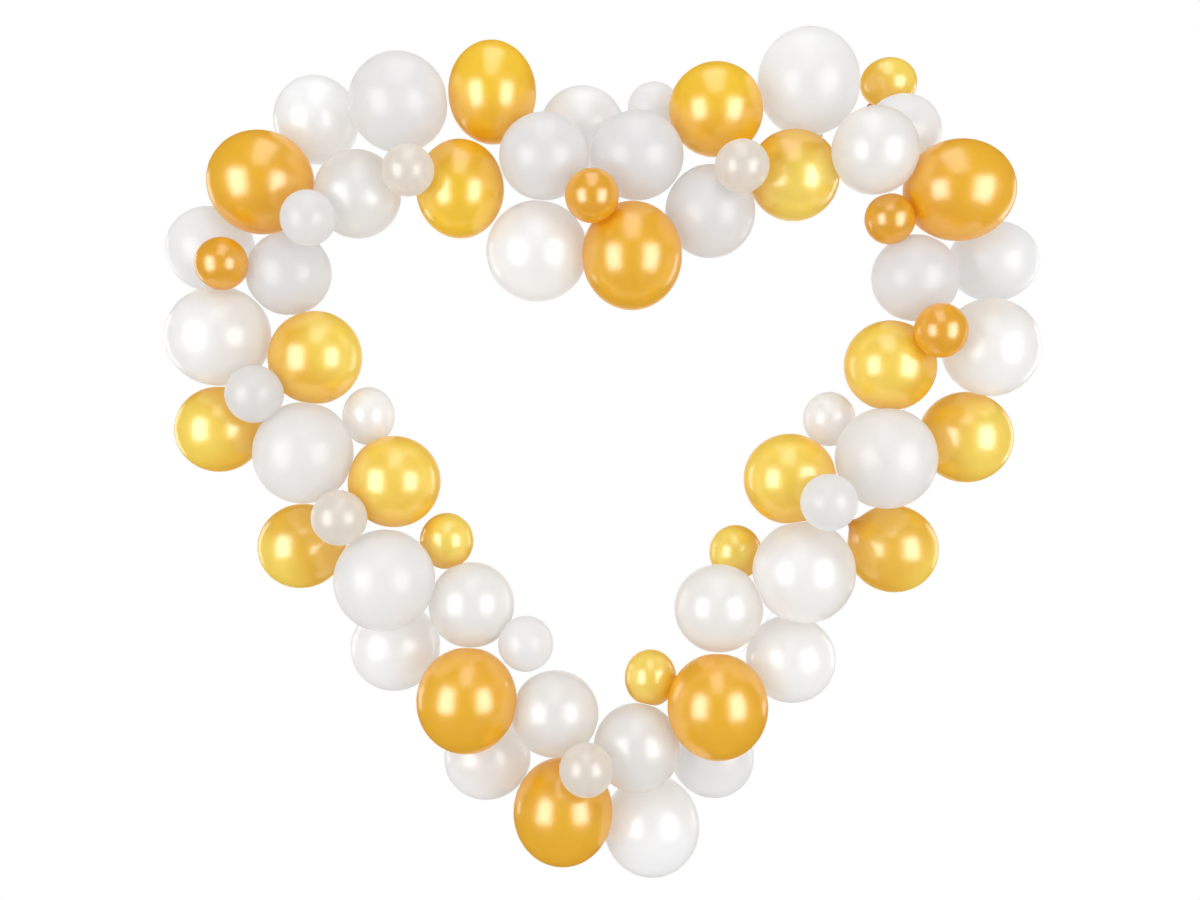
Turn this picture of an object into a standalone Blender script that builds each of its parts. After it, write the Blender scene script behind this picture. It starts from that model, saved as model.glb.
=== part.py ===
"""A heart-shaped balloon garland: latex balloons in gold, pearl and white on a slim clear garland strip.

Metres, +Z up, +X to the right, and the front of the heart faces -Y. The origin is on the underside of the strip at
the cleft of the heart, where the garland hangs. Each balloon is a turned pear shape with a neck and a knot. The
neck runs to the strip. Balloons that press on each other, or on the strip, are flattened where they meet.
"""
import math

import bmesh
import bpy
from mathutils import Vector

# Balloons, as blown up for the garland
LARGE_DIAMETER = 0.194
MEDIUM_DIAMETER = 0.170
SMALL_DIAMETER = 0.102
LENGTH_TO_WIDTH = 1.08      # a body along its neck, against its diameter
PRESS = 0.965               # how far apart pressed balloons sit, against the sum of their radii
TIED_PRESS = 0.93           # the same for a pair tied tight together
NECK_DIAMETER = 0.010
KNOT_DIAMETER = 0.017
KNOT_LENGTH = 0.013
LONGEST_NECK = 0.075        # how far a neck stretches from its body to the strip
SHORT_NECK = 0.016          # neck of a balloon that is too far from the strip to be tied to it
SHORT_NECK_LEAN = 1.2       # how far such a neck turns from the strip to the back, where it is out of sight
LEAST_SLOPE = 0.3           # how steeply a neck has to meet the side of the strip

# Clear garland strip, bent on edge round the heart
STRIP_WIDTH = 0.014
STRIP_THICKNESS = 0.0016
CORNER_CUT = 0.28           # share of each run that its bends take up at each end

# Gap between pieces that touch
CLEARANCE = 0.0003

# The layout was measured in centimetres, with balloons of these radii in it. At other sizes it grows or shrinks, and
# whatever is closer than TOUCHING, against the sum of the radii, keeps touching.
CM = 0.01
LAYOUT_RADIUS = {"large": 9.7, "medium": 8.5, "small": 5.1}
TOUCHING = 1.06
PASSES = 400

RADIUS = {"large": LARGE_DIAMETER / 2, "medium": MEDIUM_DIAMETER / 2, "small": SMALL_DIAMETER / 2}
SIDES = {"large": 9, "medium": 9, "small": 8}
RING_ANGLES = {"large": (35, 70, 105, 140), "medium": (35, 70, 105, 140), "small": (42, 88, 134)}
FINISHES = {
    "gold": ((0.74, 0.44, 0.05), 0.22, 0.45),
    "pearl": ((0.80, 0.79, 0.76), 0.20, 0.15),
    "white": ((0.84, 0.83, 0.83), 0.34, 0.0),
    "clear": ((0.86, 0.90, 0.92), 0.18, 0.0),
}

# The way of the strip round the heart, clockwise from the cleft: centimetres across, back and up from the middle of
# the heart. It lies level at the cleft, at the top of each lobe and at the foot, where it can hang or be tied.
STRIP_ROUTE = [
    (-4.0, 7.5, 52.0), (4.0, 7.5, 52.0), (8.5, 9.0, 53.0), (17.0, 9.0, 55.0), (25.0, 9.0, 57.5), (33.0, 10.0, 60.0),
    (36.5, 10.0, 61.0), (44.5, 10.0, 61.0), (50.0, 9.5, 60.0), (53.0, 9.0, 55.5), (56.5, 9.0, 50.5),
    (59.5, 9.0, 45.0), (62.5, 9.0, 39.5), (64.5, 9.0, 33.0), (64.0, 9.0, 27.0), (61.5, 9.0, 20.5),
    (60.5, 8.5, 13.5), (59.0, 7.0, 7.0), (57.5, 8.5, 3.5), (55.5, 10.0, -1.0), (52.0, 8.5, -7.0),
    (46.5, 4.5, -12.5), (44.0, 5.5, -15.5), (42.0, 9.0, -19.0), (38.5, 11.0, -25.0), (34.0, 11.0, -32.0),
    (29.0, 11.0, -39.0), (22.5, 11.0, -45.5), (16.5, 11.0, -51.0), (9.5, 11.0, -55.5), (4.0, 10.0, -58.5),
    (-4.0, 9.5, -58.5), (-10.0, 9.0, -57.0), (-16.5, 9.0, -51.5), (-22.5, 9.0, -46.0), (-27.5, 9.0, -39.5),
    (-31.0, 8.5, -33.5), (-35.5, 8.5, -27.5), (-40.0, 9.5, -21.5), (-45.5, 10.0, -15.0), (-50.0, 10.0, -9.0),
    (-54.0, 10.0, -1.5), (-58.5, 8.0, 5.5), (-61.5, 4.5, 11.0), (-63.5, 6.5, 18.0), (-65.5, 8.0, 25.0),
    (-66.0, 8.0, 32.0), (-65.0, 8.0, 38.5), (-60.5, 8.5, 44.0), (-54.5, 8.0, 49.5), (-48.0, 8.0, 55.0),
    (-41.0, 8.0, 57.0), (-32.0, 8.0, 57.0), (-24.0, 8.0, 56.0), (-15.0, 8.0, 54.5), (-9.0, 7.5, 53.0),
]
HANG_RUN = 0                # the level run of the route that the origin lies on
LEVEL_RUNS = (0, 6, 30, 51)  # the runs at the cleft, the lobes and the foot, which are kept free of knots

# How a balloon is set: at its own depth, resting on the others from behind or from the front, or tied tight to the
# last one above it that isn't tied itself, as one piece with it
SET, BEHIND, FRONT, TIED = "set", "behind", "front", "tied"

# The balloons: finish, size, how each is set, centimetres across, back and up from the middle of the heart, and its
# diameter against the usual one of its size. The depth of one that rests is worked out, and its number unused.
CLEFT = [
    ("white", "medium", SET, -10.5, -3.0, 55.0, 0.98),
    ("white", "medium", SET, 7.0, -1.5, 55.5, 1.01),
    ("pearl", "large", SET, -12.0, 2.0, 38.0, 1.00),
    ("gold", "large", SET, 6.0, -2.5, 36.5, 1.01),
    ("gold", "small", TIED, -1.5, -9.5, 46.5, 0.98),
    ("pearl", "medium", BEHIND, -3.5, 9.0, 63.0, 0.97),
    ("white", "small", BEHIND, 10.5, 7.0, 66.5, 1.00),
]
RIGHT_LOBE = [
    ("gold", "medium", SET, 22.0, 0.0, 64.5, 1.05),
    ("white", "medium", SET, 21.0, 1.5, 45.5, 1.03),
    ("gold", "medium", SET, 37.0, 2.0, 52.5, 1.03),
    ("pearl", "small", FRONT, 26.0, -9.0, 52.0, 0.98),
    ("white", "large", SET, 40.0, 3.0, 70.5, 1.05),
    ("pearl", "medium", SET, 51.0, -6.0, 55.5, 0.97),
    ("white", "medium", BEHIND, 58.5, 5.5, 61.5, 0.88),
    ("gold", "small", BEHIND, 57.0, 11.0, 72.5, 1.04),
    ("gold", "large", SET, 67.0, -4.0, 48.5, 1.03),
    ("gold", "small", TIED, 54.0, -5.0, 43.0, 0.94),
]
RIGHT_SIDE = [
    ("white", "medium", SET, 59.5, -1.0, 32.5, 0.98),
    ("white", "medium", BEHIND, 76.0, 5.5, 36.5, 0.97),
    ("pearl", "large", SET, 74.0, 0.0, 19.5, 0.97),
    ("gold", "medium", SET, 55.0, 0.0, 16.0, 1.02),
    ("gold", "small", TIED, 62.5, -9.5, 22.0, 0.98),
    ("gold", "medium", BEHIND, 70.5, 4.0, 2.5, 1.05),
    ("white", "large", SET, 54.0, -1.0, -1.5, 0.99),
    ("pearl", "small", BEHIND, 44.5, 7.0, 6.0, 1.01),
    ("gold", "medium", SET, 36.0, 0.0, -5.5, 1.02),
    ("white", "small", FRONT, 41.5, -11.5, -9.5, 1.02),
    ("gold", "medium", BEHIND, 56.5, 5.0, -19.0, 1.01),
    ("pearl", "large", SET, 38.5, -1.0, -23.0, 1.00),
    ("pearl", "medium", TIED, 36.5, 3.0, -40.0, 1.00),
    ("pearl", "medium", TIED, 22.5, 0.0, -30.0, 0.99),
    ("gold", "small", BEHIND, 26.5, 7.0, -20.0, 1.02),
]
FOOT = [
    ("gold", "large", SET, 22.0, -3.5, -48.0, 1.00),
    ("gold", "small", TIED, 9.5, 2.5, -43.5, 1.02),
    ("white", "medium", BEHIND, 22.0, 8.5, -60.0, 0.95),
    ("pearl", "medium", SET, 7.0, 0.5, -56.5, 0.99),
    ("pearl", "large", TIED, 10.0, 6.0, -73.0, 0.99),
    ("gold", "large", SET, -7.0, 0.0, -68.5, 1.02),
    ("pearl", "medium", SET, -8.5, 0.0, -50.0, 0.97),
    ("pearl", "small", FRONT, -2.5, -9.0, -58.5, 0.98),
    ("gold", "large", SET, -25.0, -2.5, -47.0, 1.00),
    ("pearl", "medium", BEHIND, -22.0, 8.5, -60.0, 0.98),
    ("white", "small", SET, -14.0, -1.5, -36.5, 1.02),
]
LEFT_SIDE = [
    ("pearl", "medium", SET, -24.5, 1.5, -29.5, 0.96),
    ("white", "large", SET, -40.5, -2.0, -24.5, 0.99),
    ("pearl", "medium", BEHIND, -40.0, 8.0, -38.5, 1.02),
    ("gold", "small", BEHIND, -29.5, 3.0, -17.5, 1.03),
    ("gold", "medium", SET, -39.0, 0.0, -6.0, 1.03),
    ("gold", "medium", BEHIND, -57.5, 5.0, -18.5, 0.97),
    ("pearl", "small", FRONT, -48.0, -7.0, -12.5, 1.01),
    ("white", "large", SET, -56.0, -1.0, -0.5, 0.99),
    ("white", "small", TIED, -64.0, -6.5, 10.5, 1.06),
    ("pearl", "small", BEHIND, -44.5, 3.0, 6.5, 1.04),
    ("gold", "medium", SET, -54.0, 0.0, 17.5, 1.04),
    ("pearl", "large", SET, -72.0, -1.0, 21.5, 1.00),
    ("gold", "medium", BEHIND, -72.5, 4.5, 4.0, 0.98),
]
LEFT_LOBE = [
    ("white", "medium", SET, -59.0, 0.0, 33.5, 0.94),
    ("gold", "large", SET, -64.0, -1.0, 50.5, 1.03),
    ("white", "medium", BEHIND, -75.5, 6.0, 39.0, 0.99),
    ("gold", "small", FRONT, -70.0, -6.0, 34.5, 0.97),
    ("pearl", "medium", SET, -46.0, 0.0, 48.5, 0.98),
    ("white", "small", FRONT, -53.5, -8.5, 42.5, 1.01),
    ("white", "large", SET, -38.0, -1.5, 65.5, 0.98),
    ("pearl", "medium", BEHIND, -55.0, 6.5, 64.0, 0.99),
    ("gold", "medium", SET, -26.5, 0.0, 49.5, 1.04),
    ("pearl", "small", FRONT, -35.0, -10.0, 51.0, 0.95),
    ("gold", "medium", SET, -20.5, 1.0, 68.0, 1.07),
]
ROWS = CLEFT + RIGHT_LOBE + RIGHT_SIDE + FOOT + LEFT_SIDE + LEFT_LOBE


class Balloon:
    """One balloon: its finish, its size and where its body lies."""

    def __init__(self, row):
        self.finish, self.size, self.how, across, back, up, fullness = row
        self.measured = Vector((across, back, up))
        self.measured_radius = LAYOUT_RADIUS[self.size] * fullness
        self.radius = RADIUS[self.size] * fullness
        self.centre = self.measured * CM
        self.mate = None
        self.placed = self.how == SET

    def apart(self, other, press=PRESS):
        """How far apart the centres of two balloons are that press on each other."""
        return (self.radius + other.radius) * press


def fit_layout(balloons):
    """Grow or shrink the layout to the sizes of the balloons, and keep in touch the set ones that touch in it.

    Returns the way any measured place has gone with the balloons next to it.
    """
    fixed = [balloon for balloon in balloons if balloon.how == SET]
    growth = sum(balloon.radius / balloon.measured_radius for balloon in fixed) / len(fixed)
    for balloon in balloons:
        balloon.centre = balloon.measured * growth
    pairs = []
    for number, this in enumerate(fixed):
        for other in fixed[number + 1:]:
            apart = (other.measured - this.measured).length
            both = this.measured_radius + other.measured_radius
            if apart < both * TOUCHING:
                pairs.append((this, other, apart * (this.radius + other.radius) / both))
    for _ in range(PASSES):
        for this, other, wanted in pairs:
            between = other.centre - this.centre
            shift = between * (1 - wanted / between.length) / 2
            this.centre += shift
            other.centre -= shift
    moved = [(balloon.measured, balloon.centre - balloon.measured * growth) for balloon in fixed]

    def carried(place):
        """A measured place, moved with the balloons next to it."""
        shares = [1 / ((place - measured).length_squared + 1) ** 2 for measured, _ in moved]
        shift = sum((way * share for (_, way), share in zip(moved, shares)), Vector((0, 0, 0)))
        return place * growth + shift / sum(shares)

    return carried


def lay_out(balloons):
    """The points of the strip's route and the middles of the balloons, measured from the hanging point."""
    carried = fit_layout(balloons)
    route = [carried(Vector(row)) for row in STRIP_ROUTE]
    for run in LEVEL_RUNS:
        start, end = route[run], route[run + 1]
        start.z = end.z = (start.z + end.z) / 2
    hang = (route[HANG_RUN] + route[HANG_RUN + 1]) / 2 - Vector((0, 0, STRIP_THICKNESS / 2))
    for balloon in balloons:
        if balloon.how != SET:
            balloon.centre = carried(balloon.measured)
        balloon.centre = balloon.centre - hang
    settle(balloons)
    return [point - hang for point in route]


def settle(balloons):
    """Set the tied balloons against their mates, and let the others rest from behind, then from the front."""
    head = None
    for balloon in balloons:
        if balloon.how == TIED:
            away = (balloon.centre - head.centre).normalized()
            balloon.centre = head.centre + away * balloon.apart(head, TIED_PRESS)
            balloon.mate = head
            balloon.placed = True
        else:
            head = balloon
    for how, way in ((BEHIND, 1), (FRONT, -1)):
        for balloon in balloons:
            if balloon.how == how:
                rest(balloon, [other for other in balloons if other.placed], way)
                balloon.placed = True


def rest(balloon, others, way):
    """Move a balloon along Y from outside until it presses on the first balloon in its way."""
    depths = []
    for other in others:
        beside = math.hypot(balloon.centre.x - other.centre.x, balloon.centre.z - other.centre.z)
        if beside < balloon.apart(other):
            depths.append(other.centre.y + way * math.sqrt(balloon.apart(other) ** 2 - beside ** 2))
    if depths:
        balloon.centre.y = max(depths) if way > 0 else min(depths)


def meeting_planes(balloon, balloons):
    """The planes halfway between a balloon and each neighbour in reach, as a point and a normal away from it."""
    planes = []
    for other in balloons:
        between = other.centre - balloon.centre
        reach = balloon.radius + other.radius + LONGEST_NECK
        if other is balloon or between.length > reach:
            continue
        middle = (balloon.radius + between.length - other.radius) / 2
        towards = between.normalized()
        joined = other.mate is balloon or balloon.mate is other
        planes.append((balloon.centre + towards * (middle - CLEARANCE / 2), towards, joined))
    return planes


def corner_points(points):
    """The strip's middle line: its route with every bend cut across."""
    line = []
    for this, following in zip(points, points[1:] + points[:1]):
        line.append(this.lerp(following, CORNER_CUT))
        line.append(this.lerp(following, 1 - CORNER_CUT))
    return line


def strip_sides(start, end):
    """The four planes round one run of the strip, each as a point and a normal away from the strip."""
    along = (end - start).normalized()
    back = Vector((0, 1, 0))
    up = back.cross(along).normalized()
    edge = along.cross(up).normalized()
    middle = (start + end) / 2
    sides = []
    for normal, half in ((up, STRIP_THICKNESS / 2), (edge, STRIP_WIDTH / 2)):
        for sign in (1, -1):
            sides.append((middle + normal * sign * (half + CLEARANCE), normal * sign))
    return sides


def facing_side(balloon, start, end):
    """The side of a run of the strip that most faces a balloon, and how far the balloon's middle is from it."""
    gap, point, normal = max(
        ((balloon.centre - point).dot(normal), tuple(point), tuple(normal)) for point, normal in strip_sides(start, end)
    )
    return gap, Vector(point), Vector(normal)


def tie_point(balloon, planes, line):
    """The nearest place on the strip that the neck can reach without passing a neighbour, or None.

    A balloon that nothing presses on hangs by its neck alone, so its knot may come as close as the neighbour's skin.
    """
    pressed = any((point - balloon.centre).dot(normal) < balloon.radius for point, normal, _ in planes)
    for room in (KNOT_DIAMETER / 2,) if pressed else (KNOT_DIAMETER / 2, 0.0):
        best = None
        for number, (start, end) in enumerate(zip(line, line[1:] + line[:1])):
            if number in [2 * run for run in LEVEL_RUNS]:
                continue
            for share in (0.25, 0.75):
                place = start.lerp(end, share)
                length = (place - balloon.centre).length
                clear = all((place - point).dot(normal) < -room for point, normal, _ in planes)
                if clear and (best is None or length < best[0]):
                    best = (length, place, start, end)
        if best and best[0] < balloon.radius * LENGTH_TO_WIDTH + LONGEST_NECK:
            return best
    return None


def pear_profile(balloon, reach):
    """Radius and height from the crown to the end of the knot, with the middle of the body at height 0."""
    half_length = balloon.radius * LENGTH_TO_WIDTH
    profile = [(0.0, -half_length)]
    for degrees in RING_ANGLES[balloon.size]:
        angle = math.radians(degrees)
        profile.append((balloon.radius * math.sin(angle), -half_length * math.cos(angle)))
    neck = NECK_DIAMETER / 2
    knot_start = reach - KNOT_LENGTH
    profile.append((neck * 1.4, half_length))
    profile.append((neck, max(knot_start, half_length + neck / 2)))
    profile.append((KNOT_DIAMETER / 2, max(reach - KNOT_LENGTH / 3, half_length + neck)))
    profile.append((0.0, max(reach + KNOT_LENGTH / 2, half_length + neck * 2)))
    return profile


def turned_body(profile, sides):
    """A closed mesh turned about Z, with flat sides that enclose as much as the round body does."""
    step = 2 * math.pi / sides
    swell = math.sqrt(step / math.sin(step))
    mesh = bmesh.new()
    points = [mesh.verts.new((radius * swell, 0, height)) for radius, height in profile]
    edges = [mesh.edges.new(pair) for pair in zip(points, points[1:])]
    bmesh.ops.spin(
        mesh, geom=points + edges, cent=(0, 0, 0), axis=(0, 0, 1), angle=2 * math.pi, steps=sides, use_merge=True
    )
    bmesh.ops.remove_doubles(mesh, verts=mesh.verts[:], dist=0.00001)
    bmesh.ops.recalc_face_normals(mesh, faces=mesh.faces[:])
    return mesh


def flatten(mesh, point, normal):
    """Cut off what lies past a plane, and close the cut with a flat face."""
    if all((vert.co - point).dot(normal) <= 0 for vert in mesh.verts):
        return
    whole = mesh.verts[:] + mesh.edges[:] + mesh.faces[:]
    bmesh.ops.bisect_plane(
        mesh, geom=whole, dist=0.00002, plane_co=point, plane_no=normal, clear_outer=True, clear_inner=False
    )
    rim = [edge for edge in mesh.edges if edge.is_boundary]
    bmesh.ops.holes_fill(mesh, edges=rim, sides=0)


def balloon_mesh(balloon, balloons, line):
    """The body of one balloon in its place, flattened where it meets its neighbours and the strip."""
    planes = meeting_planes(balloon, balloons)
    tie = tie_point(balloon, planes, line)
    half_length = balloon.radius * LENGTH_TO_WIDTH
    if tie:
        place, start, end = tie[1:]
        gap, _, away = facing_side(balloon, start, end)
        towards = (place - balloon.centre).normalized()
        reach = gap / max(-towards.dot(away), LEAST_SLOPE)
    else:
        place = min(line, key=lambda point: (point - balloon.centre).length)
        towards = ((place - balloon.centre).normalized() + Vector((0, SHORT_NECK_LEAN, 0))).normalized()
        reach = half_length + SHORT_NECK
    mesh = turned_body(pear_profile(balloon, reach), SIDES[balloon.size])
    turn = Vector((0, 0, 1)).rotation_difference(towards).to_matrix().to_4x4()
    mesh.transform(turn)
    bmesh.ops.translate(mesh, verts=mesh.verts[:], vec=balloon.centre)
    for point, normal, joined in planes:
        if not joined:
            flatten(mesh, point, normal)
    for start, end in zip(line, line[1:] + line[:1]):
        nearest = min((vert.co - (start + end) / 2).length for vert in mesh.verts)
        if nearest < STRIP_WIDTH + (end - start).length / 2:
            side, away = facing_side(balloon, start, end)[1:]
            flatten(mesh, side, -away)
    return mesh


def material(finish):
    """A plain finish for one colour of balloon, or for the strip."""
    found = bpy.data.materials.get(finish)
    if found:
        return found
    made = bpy.data.materials.new(finish)
    made.use_nodes = True
    shader = made.node_tree.nodes["Principled BSDF"]
    colour, roughness, metallic = FINISHES[finish]
    shader.inputs["Base Color"].default_value = (*colour, 1)
    shader.inputs["Roughness"].default_value = roughness
    shader.inputs["Metallic"].default_value = metallic
    if finish == "clear":
        shader.inputs["Transmission Weight"].default_value = 1.0
    return made


def add_object(name, mesh, finish, collection):
    """Turn a bmesh into an object of one material."""
    data = bpy.data.meshes.new(name)
    mesh.to_mesh(data)
    mesh.free()
    data.shade_smooth()
    data.set_sharp_from_angle(angle=math.radians(50))
    data.materials.append(material(finish))
    thing = bpy.data.objects.new(name, data)
    collection.objects.link(thing)
    return thing


def add_strip(line, collection):
    """The strip: a band standing on its middle line, with a wall from Solidify."""
    mesh = bmesh.new()
    points = [mesh.verts.new(point - Vector((0, STRIP_WIDTH / 2, 0))) for point in line]
    edges = [mesh.edges.new(pair) for pair in zip(points, points[1:] + points[:1])]
    band = bmesh.ops.extrude_edge_only(mesh, edges=edges)
    raised = [part for part in band["geom"] if isinstance(part, bmesh.types.BMVert)]
    bmesh.ops.translate(mesh, verts=raised, vec=(0, STRIP_WIDTH, 0))
    bmesh.ops.recalc_face_normals(mesh, faces=mesh.faces[:])
    strip = add_object("garland_strip", mesh, "clear", collection)
    wall = strip.modifiers.new("wall", "SOLIDIFY")
    wall.thickness = STRIP_THICKNESS
    wall.offset = 0
    wall.use_even_offset = True


def join(whole, added):
    """Make a balloon one piece with the one it is tied to."""
    union = whole.modifiers.new("join", "BOOLEAN")
    union.operation = "UNION"
    union.solver = "EXACT"
    union.object = added
    added.hide_render = True
    added.display_type = "WIRE"


def add_balloons(balloons, line, garland, cutters):
    """Every balloon, named by finish and size, and numbered clockwise from the cleft."""
    heads = {balloon.mate for balloon in balloons if balloon.mate}
    count = {}
    built = {}
    for balloon in balloons:
        mesh = balloon_mesh(balloon, balloons, line)
        if balloon.mate:
            added = add_object("tied_to_" + built[balloon.mate].name, mesh, balloon.finish, cutters)
            join(built[balloon.mate], added)
            continue
        kind = balloon.finish + ("_cluster" if balloon in heads else "_" + balloon.size)
        count[kind] = count.get(kind, 0) + 1
        built[balloon] = add_object(f"{kind}_{count[kind]:02d}", mesh, balloon.finish, garland)


def main():
    for thing in list(bpy.data.objects):
        bpy.data.objects.remove(thing, do_unlink=True)
    garland = bpy.data.collections.new("balloon_garland")
    cutters = bpy.data.collections.new("cutters")
    bpy.context.scene.collection.children.link(garland)
    bpy.context.scene.collection.children.link(cutters)
    balloons = [Balloon(row) for row in ROWS]
    line = corner_points(lay_out(balloons))
    add_strip(line, garland)
    add_balloons(balloons, line, garland, cutters)


main()
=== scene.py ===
# %% [markdown]
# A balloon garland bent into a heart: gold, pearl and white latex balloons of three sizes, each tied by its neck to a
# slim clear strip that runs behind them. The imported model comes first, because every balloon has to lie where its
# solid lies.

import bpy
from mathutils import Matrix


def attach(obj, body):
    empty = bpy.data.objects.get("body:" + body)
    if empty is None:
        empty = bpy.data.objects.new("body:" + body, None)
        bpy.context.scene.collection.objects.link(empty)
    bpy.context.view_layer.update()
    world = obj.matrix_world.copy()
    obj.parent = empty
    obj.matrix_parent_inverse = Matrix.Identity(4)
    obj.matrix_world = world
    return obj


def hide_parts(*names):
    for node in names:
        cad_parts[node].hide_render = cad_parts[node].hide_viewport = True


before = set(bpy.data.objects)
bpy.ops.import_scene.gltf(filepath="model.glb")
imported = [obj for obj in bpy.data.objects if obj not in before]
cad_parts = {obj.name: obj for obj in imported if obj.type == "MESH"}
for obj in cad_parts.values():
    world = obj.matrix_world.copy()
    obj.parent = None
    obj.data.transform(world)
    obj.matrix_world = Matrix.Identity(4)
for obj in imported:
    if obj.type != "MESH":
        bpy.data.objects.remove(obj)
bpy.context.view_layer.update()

# %% [markdown]
# Balloons are measured across, so the sizes are diameters. A pressed pair sits a little closer than two round balls
# would, which is what makes the flat patch between them. These values are the same as in the solids, so the two agree.

# %% Sizes of the balloons and of the strip
import math

import bmesh
import bpy
from mathutils import Vector
from mathutils.geometry import intersect_point_line

CM = 0.01
RADIUS = {"large": 0.194 / 2, "medium": 0.170 / 2, "small": 0.102 / 2}
LENGTH_TO_WIDTH = 1.08
PRESS = 0.965
TIED_PRESS = 0.93
NECK_DIAMETER = 0.010
KNOT_DIAMETER = 0.017
KNOT_LENGTH = 0.013
LONGEST_NECK = 0.075
SHORT_NECK = 0.016
SHORT_NECK_LEAN = 1.2
LEAST_SLOPE = 0.3
STRIP_WIDTH = 0.014
STRIP_THICKNESS = 0.0016
CORNER_CUT = 0.28
CLEARANCE = 0.0003
print("diameters in mm:", {size: round(2000 * radius) for size, radius in RADIUS.items()})

# %% [markdown]
# The strip is a flat plastic band with holes. Bent on edge it makes the heart, and every neck ends at it, so its way
# is needed before any balloon can be turned. It is level at the cleft, on both lobes and at the foot, where the garland
# can hang, and no knot sits there. The origin is under the strip at the cleft.

# %% The way of the strip: centimetres across, back and up from the middle of the heart
STRIP_ROUTE = [
    (-4.0, 7.5, 52.0), (4.0, 7.5, 52.0), (8.5, 9.0, 53.0), (17.0, 9.0, 55.0), (25.0, 9.0, 57.5), (33.0, 10.0, 60.0),
    (36.5, 10.0, 61.0), (44.5, 10.0, 61.0), (50.0, 9.5, 60.0), (53.0, 9.0, 55.5), (56.5, 9.0, 50.5),
    (59.5, 9.0, 45.0), (62.5, 9.0, 39.5), (64.5, 9.0, 33.0), (64.0, 9.0, 27.0), (61.5, 9.0, 20.5),
    (60.5, 8.5, 13.5), (59.0, 7.0, 7.0), (57.5, 8.5, 3.5), (55.5, 10.0, -1.0), (52.0, 8.5, -7.0),
    (46.5, 4.5, -12.5), (44.0, 5.5, -15.5), (42.0, 9.0, -19.0), (38.5, 11.0, -25.0), (34.0, 11.0, -32.0),
    (29.0, 11.0, -39.0), (22.5, 11.0, -45.5), (16.5, 11.0, -51.0), (9.5, 11.0, -55.5), (4.0, 10.0, -58.5),
    (-4.0, 9.5, -58.5), (-10.0, 9.0, -57.0), (-16.5, 9.0, -51.5), (-22.5, 9.0, -46.0), (-27.5, 9.0, -39.5),
    (-31.0, 8.5, -33.5), (-35.5, 8.5, -27.5), (-40.0, 9.5, -21.5), (-45.5, 10.0, -15.0), (-50.0, 10.0, -9.0),
    (-54.0, 10.0, -1.5), (-58.5, 8.0, 5.5), (-61.5, 4.5, 11.0), (-63.5, 6.5, 18.0), (-65.5, 8.0, 25.0),
    (-66.0, 8.0, 32.0), (-65.0, 8.0, 38.5), (-60.5, 8.5, 44.0), (-54.5, 8.0, 49.5), (-48.0, 8.0, 55.0),
    (-41.0, 8.0, 57.0), (-32.0, 8.0, 57.0), (-24.0, 8.0, 56.0), (-15.0, 8.0, 54.5), (-9.0, 7.5, 53.0),
]
LEVEL_RUNS = (0, 6, 30, 51)


def from_hang(row):
    """A place in the heart, measured from the hanging point."""
    hang = (Vector(STRIP_ROUTE[0]) + Vector(STRIP_ROUTE[1])) / 2 * CM - Vector((0, 0, STRIP_THICKNESS / 2))
    return Vector(row) * CM - hang


def strip_line():
    """The strip's middle line: its route with every bend cut across."""
    points = [from_hang(row) for row in STRIP_ROUTE]
    line = []
    for this, following in zip(points, points[1:] + points[:1]):
        line.append(this.lerp(following, CORNER_CUT))
        line.append(this.lerp(following, 1 - CORNER_CUT))
    return line


LINE = strip_line()
RUNS = list(zip(LINE, LINE[1:] + LINE[:1]))
print("strip length in m:", round(sum((end - start).length for start, end in RUNS), 2))

# %% [markdown]
# The camera stands where the photographer stood: straight in front of the middle of the heart, 2.6 m away. The lens
# follows from that distance and from how wide the garland is in the frame.

# %% Camera
MIDDLE = from_hang((0, 0, 0))
camera_data = bpy.data.cameras.new("camera")
camera_data.sensor_width = 36
camera_data.lens = 41.16
camera = bpy.data.objects.new("camera", camera_data)
camera.location = MIDDLE + Vector((0, -2.6, 0))
camera.rotation_euler = (math.pi / 2, 0, 0)
bpy.context.scene.collection.objects.link(camera)
bpy.context.scene.camera = camera
print("camera at", tuple(round(c, 3) for c in camera.location))

# %% [markdown]
# The rows list every balloon clockwise from the cleft: its finish, its size, how it is set, where its middle is, and
# how full it is blown. A row may end with its seen width and height against a round balloon, because a balloon whose
# neck lies in the plane of the heart shows its long side. The rows are the same as in the solids but for those two.

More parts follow.
